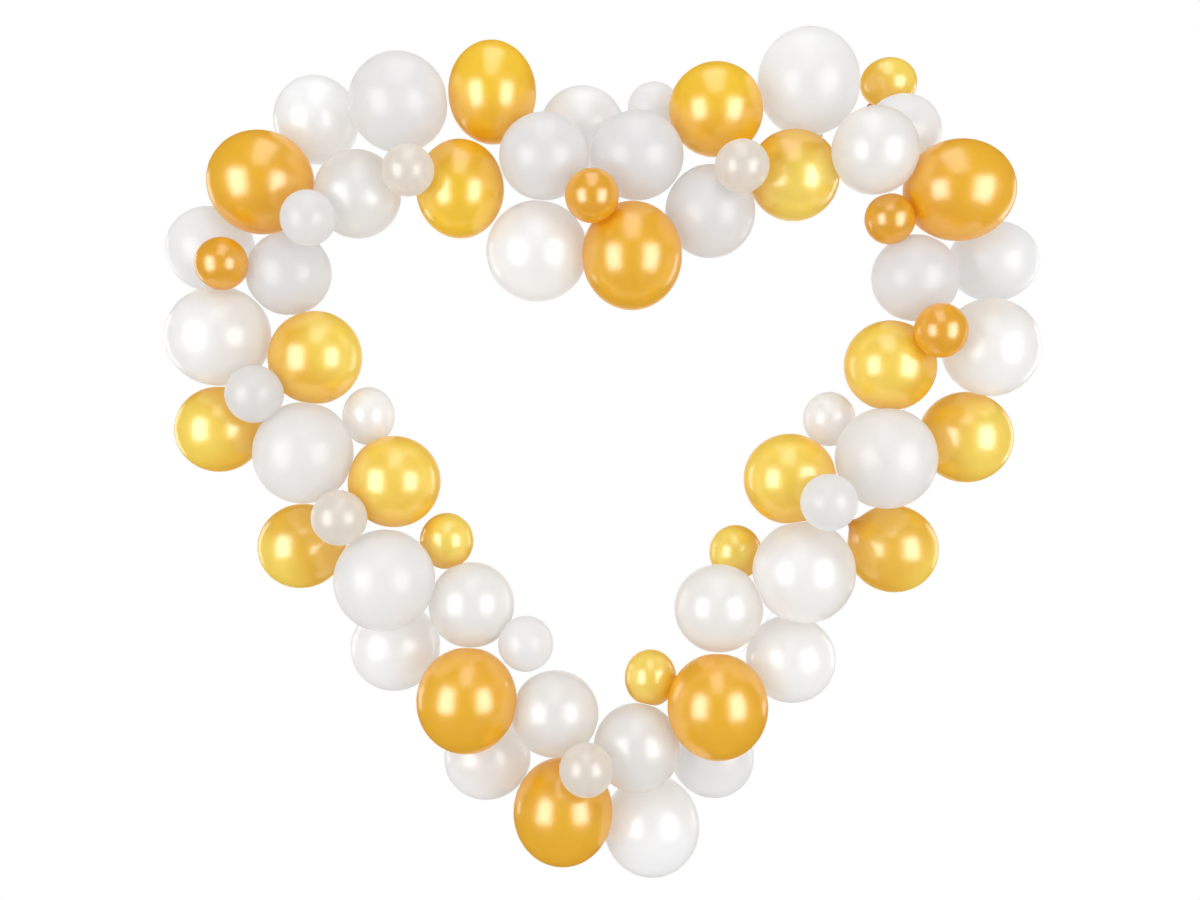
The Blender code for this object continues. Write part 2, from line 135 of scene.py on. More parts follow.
# %% The balloons: centimetres across, back and up from the middle of the heart
SET, BEHIND, FRONT, TIED = "set", "behind", "front", "tied"
CLEFT = [
    ("white", "medium", SET, -10.5, -3.0, 55.0, 0.98, 1.01, 0.98),
    ("white", "medium", SET, 7.0, -1.5, 55.5, 1.01, 1.02, 0.97),
    ("pearl", "large", SET, -12.0, 2.0, 38.0, 1.00, 1.00, 0.99),
    ("gold", "large", SET, 6.0, -2.5, 36.5, 1.01, 0.96, 1.04),
    ("gold", "small", TIED, -1.5, -9.5, 46.5, 0.98, 0.99, 1.00),
    ("pearl", "medium", BEHIND, -3.5, 9.0, 63.0, 0.97, 1.01, 0.98),
    ("white", "small", BEHIND, 10.5, 7.0, 66.5, 1.00, 1.00, 0.97),
]
RIGHT_LOBE = [
    ("gold", "medium", SET, 22.0, 0.0, 64.5, 1.05, 1.00, 0.98),
    ("white", "medium", SET, 21.0, 1.5, 45.5, 1.03, 0.98, 1.01),
    ("gold", "medium", SET, 37.0, 2.0, 52.5, 1.03, 0.99, 0.99),
    ("pearl", "small", FRONT, 26.0, -9.0, 52.0, 0.98, 1.00, 0.98),
    ("white", "large", SET, 40.0, 3.0, 70.5, 1.05, 0.96, 1.00),
    ("pearl", "medium", SET, 51.0, -6.0, 55.5, 0.97, 0.98, 0.99),
    ("white", "medium", BEHIND, 58.5, 5.5, 61.5, 0.88, 0.99, 0.98),
    ("gold", "small", BEHIND, 57.0, 11.0, 72.5, 1.04, 1.04, 0.92),
    ("gold", "large", SET, 67.0, -4.0, 48.5, 1.03, 1.03, 0.94),
    ("gold", "small", TIED, 54.0, -5.0, 43.0, 0.94, 0.98, 0.99),
]
RIGHT_SIDE = [
    ("white", "medium", SET, 59.5, -1.0, 32.5, 0.98, 0.98, 0.98),
    ("white", "medium", BEHIND, 76.0, 5.5, 36.5, 0.97, 1.02, 0.94),
    ("pearl", "large", SET, 74.0, 0.0, 19.5, 0.97, 0.97, 0.99),
    ("gold", "medium", SET, 55.0, 0.0, 16.0, 1.02, 1.00, 0.99),
    ("gold", "small", TIED, 62.5, -9.5, 22.0, 0.98, 0.98, 1.00),
    ("gold", "medium", BEHIND, 70.5, 4.0, 2.5, 1.05, 0.99, 0.98),
    ("white", "large", SET, 54.0, -1.0, -1.5, 0.99, 1.00, 1.00),
    ("pearl", "small", BEHIND, 44.5, 7.0, 6.0, 1.01, 0.98, 1.03),
    ("gold", "medium", SET, 36.0, 0.0, -5.5, 1.02, 1.01, 0.99),
    ("white", "small", FRONT, 41.5, -11.5, -9.5, 1.02, 1.00, 1.00),
    ("gold", "medium", BEHIND, 56.5, 5.0, -19.0, 1.01, 1.00, 0.98),
    ("pearl", "large", SET, 38.5, -1.0, -23.0, 1.00, 1.00, 1.00),
    ("pearl", "medium", TIED, 36.5, 3.0, -40.0, 1.00, 1.00, 0.98),
    ("pearl", "medium", TIED, 22.5, 0.0, -30.0, 0.99, 1.00, 0.99),
    ("gold", "small", BEHIND, 26.5, 7.0, -20.0, 1.02, 0.98, 1.03),
]
FOOT = [
    ("gold", "large", SET, 22.0, -3.5, -48.0, 1.00, 0.97, 1.02),
    ("gold", "small", TIED, 9.5, 2.5, -43.5, 1.02, 0.95, 1.04),
    ("white", "medium", BEHIND, 22.0, 8.5, -60.0, 0.95, 1.00, 0.97),
    ("pearl", "medium", SET, 7.0, 0.5, -56.5, 0.99, 0.98, 1.00),
    ("pearl", "large", TIED, 10.0, 6.0, -73.0, 0.99, 0.97, 1.00),
    ("gold", "large", SET, -7.0, 0.0, -68.5, 1.02, 0.95, 1.02),
    ("pearl", "medium", SET, -8.5, 0.0, -50.0, 0.97, 1.00, 0.99),
    ("pearl", "small", FRONT, -2.5, -9.0, -58.5, 0.98, 0.99, 0.99),
    ("gold", "large", SET, -25.0, -2.5, -47.0, 1.00, 0.97, 1.02),
    ("pearl", "medium", BEHIND, -22.0, 8.5, -60.0, 0.98, 1.01, 0.98),
    ("white", "small", SET, -14.0, -1.5, -36.5, 1.02, 1.00, 1.01),
]
LEFT_SIDE = [
    ("pearl", "medium", SET, -24.5, 1.5, -29.5, 0.96, 1.00, 1.00),
    ("white", "large", SET, -40.5, -2.0, -24.5, 0.99, 0.99, 1.00),
    ("pearl", "medium", BEHIND, -40.0, 8.0, -38.5, 1.02, 1.00, 0.98),
    ("gold", "small", BEHIND, -29.5, 3.0, -17.5, 1.03, 0.98, 1.03),
    ("gold", "medium", SET, -39.0, 0.0, -6.0, 1.03, 1.00, 0.99),
    ("gold", "medium", BEHIND, -57.5, 5.0, -18.5, 0.97, 1.01, 0.98),
    ("pearl", "small", FRONT, -48.0, -7.0, -12.5, 1.01, 1.00, 0.99),
    ("white", "large", SET, -56.0, -1.0, -0.5, 0.99, 0.98, 1.00),
    ("white", "small", TIED, -64.0, -6.5, 10.5, 1.06, 0.99, 0.99),
    ("pearl", "small", BEHIND, -44.5, 3.0, 6.5, 1.04, 0.94, 1.06),
    ("gold", "medium", SET, -54.0, 0.0, 17.5, 1.04, 0.99, 1.00),
    ("pearl", "large", SET, -72.0, -1.0, 21.5, 1.00, 1.00, 0.97),
    ("gold", "medium", BEHIND, -72.5, 4.5, 4.0, 0.98, 0.99, 0.98),
]
LEFT_LOBE = [
    ("white", "medium", SET, -59.0, 0.0, 33.5, 0.94, 1.00, 0.99),
    ("gold", "large", SET, -64.0, -1.0, 50.5, 1.03, 0.99, 0.97),
    ("white", "medium", BEHIND, -75.5, 6.0, 39.0, 0.99, 0.99, 0.98),
    ("gold", "small", FRONT, -70.0, -6.0, 34.5, 0.97, 0.98, 0.99),
    ("pearl", "medium", SET, -46.0, 0.0, 48.5, 0.98, 0.99, 1.00),
    ("white", "small", FRONT, -53.5, -8.5, 42.5, 1.01, 0.98, 1.00),
    ("white", "large", SET, -38.0, -1.5, 65.5, 0.98, 0.98, 0.98),
    ("pearl", "medium", BEHIND, -55.0, 6.5, 64.0, 0.99, 0.97, 1.00),
    ("gold", "medium", SET, -26.5, 0.0, 49.5, 1.04, 0.94, 1.05),
    ("pearl", "small", FRONT, -35.0, -10.0, 51.0, 0.95, 0.99, 0.98),
    ("gold", "medium", SET, -20.5, 1.0, 68.0, 1.07, 0.92, 1.06),
]
ROWS = CLEFT + RIGHT_LOBE + RIGHT_SIDE + FOOT + LEFT_SIDE + LEFT_LOBE
print("balloons:", len(ROWS))

# %% [markdown]
# Only the balloons that were set have a depth of their own. The others rest on them, from behind or from the
# front, and a tied one is pulled against its mate. The rule is the one that placed the solids. Where the solids join a
# tied pair into one body, here they are two balloons again, so the tied one moves back out to an ordinary press.

# %% Where every balloon rests


class Balloon:
    """One balloon: its finish, its size and where its body lies."""

    def __init__(self, row):
        self.finish, self.size, self.how, across, back, up, fullness, self.seen_width, self.seen_height = row
        self.centre = from_hang((across, back, up))
        self.radius = RADIUS[self.size] * fullness
        self.mate = None
        self.placed = self.how == SET

    def apart(self, other, press=PRESS):
        """How far apart the centres of two balloons are that press on each other."""
        return (self.radius + other.radius) * press


def rest(balloon, others, way):
    """Move a balloon along Y from outside until it presses on the first balloon in its way."""
    depths = []
    for other in others:
        beside = math.hypot(balloon.centre.x - other.centre.x, balloon.centre.z - other.centre.z)
        if beside < balloon.apart(other):
            depths.append(other.centre.y + way * math.sqrt(balloon.apart(other) ** 2 - beside ** 2))
    if depths:
        balloon.centre.y = max(depths) if way > 0 else min(depths)


def settle(balloons):
    """Set the tied balloons against their mates, and let the others rest from behind, then from the front."""
    head = None
    for balloon in balloons:
        if balloon.how == TIED:
            away = (balloon.centre - head.centre).normalized()
            balloon.centre = head.centre + away * balloon.apart(head, TIED_PRESS)
            balloon.mate = head
            balloon.placed = True
        else:
            head = balloon
    for how, way in ((BEHIND, 1), (FRONT, -1)):
        for balloon in balloons:
            if balloon.how == how:
                rest(balloon, [other for other in balloons if other.placed], way)
                balloon.placed = True
    for balloon in balloons:
        if balloon.mate:
            away = (balloon.centre - balloon.mate.centre).normalized()
            balloon.centre = balloon.mate.centre + away * balloon.apart(balloon.mate)


balloons = [Balloon(row) for row in ROWS]
settle(balloons)
print("front and back of the bodies:", round(min(b.centre.y - b.radius for b in balloons), 3),
      round(max(b.centre.y + b.radius for b in balloons), 3))

# %% [markdown]
# Every name here follows from the order of the rows, as in the solids: finish and size, numbered, and a cluster where
# others are tied to a balloon. Each balloon then knows which node it stands for, and its piece hides that node's solid.

# %% Which node each balloon stands for


def name_nodes(balloons):
    """Give every balloon the node it stands for and a name of its own."""
    heads = {balloon.mate for balloon in balloons if balloon.mate}
    nodes = {}
    pieces = {}
    for balloon in balloons:
        if not balloon.mate:
            kind = balloon.finish + ("_cluster" if balloon in heads else "_" + balloon.size)
            nodes[kind] = nodes.get(kind, 0) + 1
            balloon.node = f"{kind}_{nodes[kind]:02d}"
        else:
            balloon.node = balloon.mate.node
        kind = f"{balloon.finish}_balloon_{balloon.size}"
        pieces[kind] = pieces.get(kind, 0) + 1
        balloon.name = f"{kind}_{pieces[kind]:02d}"
    return pieces


print("pieces of each kind:", name_nodes(balloons))

# %% [markdown]
# Two balloons that press meet in a flat patch halfway between them. Each gets that plane as a wall to stay behind. The
# strip has walls of its own, and a neck aims at the nearest hole of the strip that no neighbour covers.

# %% Planes between neighbours, and the place each neck is tied


def meeting_planes(balloon):
    """The planes halfway between a balloon and each neighbour in reach, as a point and a normal away from it."""
    planes = []
    for other in balloons:
        between = other.centre - balloon.centre
        if other is balloon or between.length > balloon.radius + other.radius + LONGEST_NECK:
            continue
        middle = (balloon.radius + between.length - other.radius) / 2
        towards = between.normalized()
        planes.append((balloon.centre + towards * (middle - CLEARANCE / 2), towards))
    return planes


def facing_side(balloon, start, end):
    """The side of a run of the strip that most faces a balloon, and how far the balloon's middle is from it."""
    along = (end - start).normalized()
    up = Vector((0, 1, 0)).cross(along).normalized()
    edge = along.cross(up).normalized()
    middle = (start + end) / 2
    sides = []
    for normal, half in ((up, STRIP_THICKNESS / 2), (edge, STRIP_WIDTH / 2)):
        for sign in (1, -1):
            point = middle + normal * sign * (half + CLEARANCE)
            sides.append(((balloon.centre - point).dot(normal * sign), tuple(point), tuple(normal * sign)))
    gap, point, normal = max(sides)
    return gap, Vector(point), Vector(normal)


def tie_place(balloon, planes):
    """The nearest place on the strip that the neck can reach without passing a neighbour, or None.

    A balloon that nothing presses on hangs by its neck alone, so its knot may come as close as the neighbour's skin.
    """
    pressed = any((point - balloon.centre).dot(normal) < balloon.radius for point, normal in planes)
    for room in (KNOT_DIAMETER / 2,) if pressed else (KNOT_DIAMETER / 2, 0.0):
        best = None
        for number, (start, end) in enumerate(RUNS):
            if number in [2 * run for run in LEVEL_RUNS]:
                continue
            for share in (0.25, 0.75):
                place = start.lerp(end, share)
                length = (place - balloon.centre).length
                clear = all((place - point).dot(normal) < -room for point, normal in planes)
                if clear and (best is None or length < best[0]):
                    best = (length, place, start, end)
        if best and best[0] < balloon.radius * LENGTH_TO_WIDTH + LONGEST_NECK:
            return best
    return None


def aim(balloon, planes):
    """The way the neck points, how far the knot's end is from the middle of the body, and the side it rests on."""
    tie = tie_place(balloon, planes)
    if tie:
        place, start, end = tie[1:]
        gap, _, away = facing_side(balloon, start, end)
        towards = (place - balloon.centre).normalized()
        return towards, gap / max(-towards.dot(away), LEAST_SLOPE), away
    place = min(LINE, key=lambda point: (point - balloon.centre).length)
    towards = ((place - balloon.centre).normalized() + Vector((0, SHORT_NECK_LEAN, 0))).normalized()
    return towards, balloon.radius * LENGTH_TO_WIDTH + SHORT_NECK, -towards


tied = sum(tie_place(balloon, meeting_planes(balloon)) is not None for balloon in balloons)
print("necks that reach the strip:", tied, "of", len(balloons))

# %% [markdown]
# A blown balloon is a ball on the crown side and draws in to its neck like a pear. It could be a stretched UV sphere,
# but a turned profile gives the neck, the knot and the rolled lip in the same mesh, with one clean ring of faces after
# another. The profile is a half circle, one curve into the neck, and a few rings for the knot.

# %% The profile of a balloon
CROWN_STEPS = 20
SHOULDER_STEPS = 9
SHOULDER_ANGLE = math.radians(138)


def bezier(p0, p1, p2, p3, share):
    """A point on a curve between two points, pulled by two handles."""
    rest_share = 1 - share
    return (p0 * rest_share ** 3 + p1 * 3 * rest_share ** 2 * share + p2 * 3 * rest_share * share ** 2 + p3 * share ** 3)


def balloon_profile(radius, reach):
    """Distance from the axis and height, from the crown to the end of the knot; the middle of the body is height 0."""
    neck = NECK_DIAMETER / 2 * (1.0 if radius > 0.07 else 0.8)
    knot = KNOT_DIAMETER / 2 * (1.0 if radius > 0.07 else 0.85)
    knot_start = max(reach - KNOT_LENGTH, radius * 1.03)
    neck_start = min(radius * 1.17, knot_start)
    length = radius * 1.02
    rings = []
    for step in range(CROWN_STEPS + 1):
        angle = SHOULDER_ANGLE * step / CROWN_STEPS
        rings.append(Vector((radius * math.sin(angle), -length * math.cos(angle))))
    slope = Vector((math.cos(SHOULDER_ANGLE), math.sin(SHOULDER_ANGLE)))
    start = rings[-1]
    finish = Vector((neck, neck_start))
    for step in range(1, SHOULDER_STEPS + 1):
        share = step / SHOULDER_STEPS
        handle = Vector((neck * 1.1, neck_start - radius * 0.16))
        rings.append(bezier(start, start + slope * radius * 0.30, handle, finish, share))
    for share in (0.33, 0.66, 1.0):
        if knot_start > neck_start + 0.002:
            rings.append(Vector((neck * (1 - 0.25 * share), neck_start + (knot_start - neck_start) * share)))
    for width, share in ((0.72, 0.10), (0.97, 0.32), (1.0, 0.52), (0.86, 0.76), (0.45, 0.96)):
        rings.append(Vector((knot * width, knot_start + KNOT_LENGTH * share)))
    rings.append(Vector((0, knot_start + KNOT_LENGTH)))
    return rings


print("rings of a large balloon:", len(balloon_profile(RADIUS["large"], 0.12)))

# %% [markdown]
# Spin turns the profile once round. With use_merge the last ring of points becomes the first one, and the poles are
# closed by merging doubles. A float on every point keeps how far along the balloon it lies, 0 at the crown and 1 where
# the neck starts, because the folds in the neck and the colour need it later: the thick neck is deeper, and painted
# shade deepens the colour towards the rim.

# %% Turn a profile into a closed skin
BODY_SIDES = 56


def turned(profile, sides):
    """A closed mesh turned about Z."""
    mesh = bmesh.new()
    points = [mesh.verts.new((distance, 0, height)) for distance, height in profile]
    edges = [mesh.edges.new(pair) for pair in zip(points, points[1:])]
    bmesh.ops.spin(
        mesh, geom=points + edges, cent=(0, 0, 0), axis=(0, 0, 1), angle=2 * math.pi, steps=sides, use_merge=True
    )
    bmesh.ops.remove_doubles(mesh, verts=mesh.verts[:], dist=0.00001)
    bmesh.ops.recalc_face_normals(mesh, faces=mesh.faces[:])
    return mesh


def pleat_neck(mesh, radius, turn_share):
    """Mark how far along the balloon each point lies, and gather the neck and the shoulder into small folds."""
    along = mesh.verts.layers.float.new("along")
    for vert in mesh.verts:
        height = vert.co.z
        vert[along] = (height + radius) / (2.1 * radius)
        folded = min(max((height - radius * 0.86) / (radius * 0.2), 0), 1)
        angle = math.atan2(vert.co.y, vert.co.x) + turn_share
        fold = 1 + folded * (0.10 * math.cos(7 * angle) + 0.06 * math.cos(11 * angle + 1.0))
        vert.co.x *= fold
        vert.co.y *= fold


# %% [markdown]
# Skin that presses on a neighbour gives way softly: it goes flat in the middle of the patch and rounds off at its rim.
# Cutting with a plane would leave a hard edge, so each point is moved back along the plane's normal by a smooth curve
# instead. The same is done against the strip.

# %% Press the skin flat against a plane
SOFTNESS = 0.0022
FELT = 0.034


def press(mesh, point, normal, share=lambda place: 1.0):
    """Move what lies near or past a plane back behind it, most where it is furthest past."""
    for vert in mesh.verts:
        past = (vert.co - point).dot(normal)
        if past > -6 * SOFTNESS:
            kept = (past - math.sqrt(past * past + SOFTNESS * SOFTNESS)) / 2
            vert.co -= normal * (past - kept) * share(vert.co)


def near_run(start, end):
    """How much of a press is felt at a place: all of it on a run of the strip, and none further off."""
    def share(place):
        nearest, along = intersect_point_line(place, start, end)
        nearest = start.lerp(end, min(max(along, 0), 1))
        return min(max((FELT - (place - nearest).length) / (FELT - STRIP_WIDTH), 0), 1)
    return share


# %% [markdown]
# Past the knot a balloon ends in a short open tail with a rolled lip. It is a small funnel, turned like the body, with
# its inner wall, so that it looks right from behind, where the tails show.

# %% The tail with its rolled lip
TAIL_PROFILE = [
    (0.0, 0.0), (2.6, 0.2), (2.2, 3.0), (2.9, 7.0), (4.4, 11.5), (6.3, 15.0), (7.6, 16.0), (8.2, 17.0), (7.9, 18.2),
    (6.9, 18.4), (6.0, 17.2), (4.6, 13.4), (3.0, 9.6), (0.0, 8.6),
]


def tail_mesh(place, direction, size):
    """The tail, from the knot outwards."""
    mesh = turned([(distance * size * 0.001, height * size * 0.001) for distance, height in TAIL_PROFILE], 16)
    along = mesh.verts.layers.float.new("along")
    for vert in mesh.verts:
        angle = math.atan2(vert.co.y, vert.co.x)
        fold = 1 + 0.10 * math.cos(5 * angle)
        vert.co.x *= fold
        vert.co.y *= fold * 0.8
        vert[along] = 1.4
    mesh.transform(Vector((0, 0, 1)).rotation_difference(direction).to_matrix().to_4x4())
    bmesh.ops.translate(mesh, verts=mesh.verts[:], vec=place)
    return mesh


# %% [markdown]
# Now the finishes. Gold latex has metallic pigment in a clear skin: it is bright and even where light comes through it,
# goes deep orange at the rim, and mirrors lamps as wide soft patches. A hard coat over a rougher skin, with a touch of
# metallic, gives the patches, and an orange sheen brightens the rim; the deep orange towards the rim is painted shade,
# a blend into the deep colour away from the crown. Pearl has a fine pale pigment, so its lights are blurred and strong.
# Plain white is almost matt. All three let light through; since the skin is closed and hollow inside, a translucent
# shader is mixed into each for that.

# %% Helpers for the node materials


def new_material(name):
    """A material with its nodes, its shader and a function that adds a node."""
    made = bpy.data.materials.new(name)
    made.use_nodes = True
    tree = made.node_tree
    shader = tree.nodes["Principled BSDF"]

    def add(kind, **settings):
        node = tree.nodes.new(kind)
        for key, value in settings.items():
            if key in node.inputs:
                node.inputs[key].default_value = value
            else:
                setattr(node, key, value)
        return node

    return made, tree.links, shader, add


def noise(add, links, scale, detail=2.0):
    """Noise on object coordinates."""
    place = add("ShaderNodeTexCoord")
    texture = add("ShaderNodeTexNoise")
    texture.inputs["Scale"].default_value = scale
    texture.inputs["Detail"].default_value = detail
    links.new(place.outputs["Object"], texture.inputs["Vector"])
    return texture.outputs["Fac"]


def spread(add, links, value, low, high, to_low, to_high):
    """Stretch a value from one range to another."""
    ranged = add("ShaderNodeMapRange", interpolation_type="SMOOTHSTEP")
    ranged.inputs["From Min"].default_value = low
    ranged.inputs["From Max"].default_value = high
    ranged.inputs["To Min"].default_value = to_low
    ranged.inputs["To Max"].default_value = to_high
    links.new(value, ranged.inputs["Value"])
    return ranged.outputs["Result"]


def blend(add, links, share, first, second):
    """Mix two colours, each a colour or an output, by a number or an output."""
    mixed = add("ShaderNodeMix", data_type="RGBA")
    if isinstance(share, float):
        mixed.inputs["Factor"].default_value = share
    else:
        links.new(share, mixed.inputs["Factor"])
    for socket, colour in ((mixed.inputs[6], first), (mixed.inputs[7], second)):
        if isinstance(colour, tuple):
            socket.default_value = (*colour, 1)
        else:
            links.new(colour, socket)
    return mixed.outputs[2]


# %% Latex in three finishes
# The pale and deep colours also carry painted light and shade: pale for balloons further back, deep for small balloons
# in front and towards every balloon's rim.
LATEX = {
    "gold": {
        "pale": (0.99, 0.86, 0.16), "skin": (0.98, 0.735, 0.02), "deep": (0.86, 0.49, 0.003), "neck": (0.62, 0.26, 0.01),
        "through": 0.40, "clear": 0.10, "sides_behind": 1.0, "Roughness": 0.36, "Metallic": 0.04, "Specular IOR Level": 0.55,
        "Coat Weight": 1.0, "Coat Roughness": 0.27, "Coat IOR": 2.25, "Specular Tint": (1.0, 1.0, 1.0, 1),
        "Sheen Weight": 0.4, "Sheen Roughness": 0.45, "Sheen Tint": (1.0, 0.60, 0.05, 1),
    },
    "pearl": {
        "pale": (0.915, 0.94, 0.97), "skin": (0.84, 0.865, 0.885), "deep": (0.73, 0.685, 0.62), "neck": (0.82, 0.76, 0.66),
        "through": 0.52, "clear": 0.6, "sides_behind": 0.6, "Roughness": 0.36, "Metallic": 0.06, "Specular IOR Level": 0.7,
        "Coat Weight": 0.95, "Coat Roughness": 0.25, "Coat IOR": 1.55, "Specular Tint": (1.0, 1.0, 1.0, 1),
        "Sheen Weight": 0.2, "Sheen Roughness": 0.5, "Sheen Tint": (1.0, 0.95, 0.87, 1),
    },
    "white": {
        "pale": (0.85, 0.865, 0.88), "skin": (0.79, 0.805, 0.83), "deep": (0.77, 0.775, 0.785), "neck": (0.84, 0.81, 0.76),
        "through": 0.58, "clear": 0.35, "sides_behind": 0.8, "Roughness": 0.42, "Metallic": 0.0, "Specular IOR Level": 0.8,
        "Coat Weight": 0.7, "Coat Roughness": 0.25, "Coat IOR": 1.5, "Specular Tint": (1.0, 1.0, 1.0, 1),
        "Sheen Weight": 0.2, "Sheen Roughness": 0.5, "Sheen Tint": (1.0, 0.96, 0.90, 1),
    },
}


def latex(finish):
    """The material of one finish: its colour wanders a little, deepens in the thick neck, is paler or deeper per
    balloon by its pigment and by painted light and shade, and deepens towards the rim as painted shade.
    """
    look = LATEX[finish]
    made, links, shader, add = new_material(finish + "_latex_skin")
    # Per-balloon tone from the points' float: part pigment, part painted light on balloons further back and painted
    # shade on small ones in front.
    pigment_and_painted_light = add("ShaderNodeAttribute", attribute_name="pigment_and_painted_light")
    skin = blend(add, links, spread(add, links, pigment_and_painted_light.outputs["Fac"], 0.0, 0.5, 0.0, 1.0), look["pale"], look["skin"])
    skin = blend(add, links, spread(add, links, pigment_and_painted_light.outputs["Fac"], 0.5, 1.0, 0.0, 1.0), skin, look["deep"])
    cloud = spread(add, links, noise(add, links, 9.0), 0.4, 0.8, 0.0, 0.25)
    skin = blend(add, links, cloud, skin, look["deep"])
    along = add("ShaderNodeAttribute", attribute_name="along")
    # Painted shade: the colour deepens from near the crown towards the rim, less so on balloons further back.
    sides = add("ShaderNodeMath", operation="MULTIPLY")
    links.new(spread(add, links, along.outputs["Fac"], 0.06, 0.36, 0.0, 0.65), sides.inputs[0])
    links.new(spread(add, links, pigment_and_painted_light.outputs["Fac"], 0.0, 0.15, look["sides_behind"], 1.0), sides.inputs[1])
    skin = blend(add, links, sides.outputs["Value"], skin, look["deep"])
    thick = spread(add, links, along.outputs["Fac"], 0.84, 1.05, 0.0, 1.0)
    skin = blend(add, links, thick, skin, look["neck"])
    links.new(skin, shader.inputs["Base Color"])
    base = look["Roughness"]
    rough = spread(add, links, noise(add, links, 22.0, 4.0), 0.3, 0.7, base - 0.03, base + 0.03)
    links.new(rough, shader.inputs["Roughness"])
    bump = add("ShaderNodeBump")
    bump.inputs["Strength"].default_value = 0.03
    bump.inputs["Distance"].default_value = 0.001
    links.new(noise(add, links, 260.0, 3.0), bump.inputs["Height"])
    links.new(bump.outputs["Normal"], shader.inputs["Normal"])
    for key, value in look.items():
        if key[0].isupper() and key != "Roughness":
            shader.inputs[key].default_value = value
    glow = add("ShaderNodeBsdfTranslucent")
    links.new(blend(add, links, look["clear"], skin, (1.0, 1.0, 1.0)), glow.inputs["Color"])
    both = add("ShaderNodeMixShader")
    both.inputs["Fac"].default_value = look["through"]
    links.new(shader.outputs["BSDF"], both.inputs[1])
    links.new(glow.outputs["BSDF"], both.inputs[2])
    links.new(both.outputs["Shader"], made.node_tree.nodes["Material Output"].inputs["Surface"])
    return made


finishes = {finish: latex(finish) for finish in LATEX}
print("finishes:", sorted(finishes))

# %% [markdown]
# With the skin, the tail and the finishes at hand, each balloon is turned, pointed at the strip, given its seen shape,
# pressed by its neighbours and by the strip, and set in place of its solid.

# %% Make the balloons
FRONT_ROW = -0.11
BACK_ROW = -0.058
SIDE_HEIGHT = 0.26


def pigment_and_painted_light_level(balloon):
    """How deep a balloon's colour is. A little one in front keeps more pigment, and is deepened further as painted
    shade for the light from behind that it lacks; one further back is paled as painted light against the shade of those
    in front.
    """
    if balloon.size == "small" and balloon.centre.y < FRONT_ROW:
        return 1.0
    if balloon.centre.y > BACK_ROW:
        return 0.0
    if balloon.size == "small" or abs(balloon.centre.z - MIDDLE.z) < SIDE_HEIGHT:
        return 0.15
    if balloon.size == "large":
        return 0.8
    return 0.5


def give_seen_shape(mesh, balloon):
    """Make the body as wide and tall as it is seen, and leave the knot where it is tied."""
    along = mesh.verts.layers.float["along"]
    for vert in mesh.verts:
        share = min(max((1.25 - vert[along]) / 0.4, 0), 1)
        away = vert.co - balloon.centre
        vert.co.x += away.x * (balloon.seen_width - 1) * share
        vert.co.z += away.z * (balloon.seen_height - 1) * share


def add_piece(name, mesh, material, nodes):
    """Turn a bmesh into a piece that stands for its nodes."""
    data = bpy.data.meshes.new(name)
    mesh.to_mesh(data)
    mesh.free()
    data.shade_smooth()
    data.materials.append(material)
    piece = bpy.data.objects.new(name, data)
    bpy.context.scene.collection.objects.link(piece)
    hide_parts(*nodes)
    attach(piece, "root")
    return piece


def add_balloon(balloon, number):
    """One whole balloon in its place."""
    planes = meeting_planes(balloon)
    towards, reach, away = aim(balloon, planes)
    profile = balloon_profile(balloon.radius, reach)
    mesh = turned(profile, BODY_SIDES)
    pleat_neck(mesh, balloon.radius, number * 1.7)
    mesh.transform(Vector((0, 0, 1)).rotation_difference(towards).to_matrix().to_4x4())
    bmesh.ops.translate(mesh, verts=mesh.verts[:], vec=balloon.centre)
    give_seen_shape(mesh, balloon)
    for point, normal in planes:
        press(mesh, point, normal)
    for start, end in RUNS:
        if (balloon.centre - (start + end) / 2).length < balloon.radius * 1.1 + (end - start).length / 2 + STRIP_WIDTH:
            _, side, outwards = facing_side(balloon, start, end)
            press(mesh, side, -outwards, near_run(start, end))
    knot = balloon.centre + towards * (profile[-1].y - KNOT_LENGTH * 0.5)
    back = Vector((0, 1, 0))
    tail_way = (back * 0.8 + away * 0.5 + towards.cross(away) * 0.35 * (-1) ** number).normalized()
    tail = tail_mesh(knot, tail_way, 0.85 if balloon.size == "small" else 1.0)
    scrap = bpy.data.meshes.new("scrap")
    tail.to_mesh(scrap)
    tail.free()
    mesh.from_mesh(scrap)
    bpy.data.meshes.remove(scrap)
    bmesh.ops.recalc_face_normals(mesh, faces=mesh.faces[:])
    # Each point gets the balloon's tone: part pigment, part painted light and shade.
    pigment_and_painted_light = mesh.verts.layers.float.new("pigment_and_painted_light")
    for vert in mesh.verts:
        vert[pigment_and_painted_light] = pigment_and_painted_light_level(balloon)
    return add_piece(balloon.name, mesh, finishes[balloon.finish], [balloon.node])


pieces = [add_balloon(balloon, number) for number, balloon in enumerate(balloons)]
print("balloons made:", len(pieces), "with", sum(len(piece.data.polygons) for piece in pieces), "faces")

# %% [markdown]
# The real strip is extruded clear plastic with a row of holes. A band of short cells standing on the line gives the
# bends, each cell's inset face, rounded and removed, gives a hole, and Solidify gives the wall. The level runs keep
# their plain faces, because the garland hangs there.

# %% The clear strip
CELL = 0.019


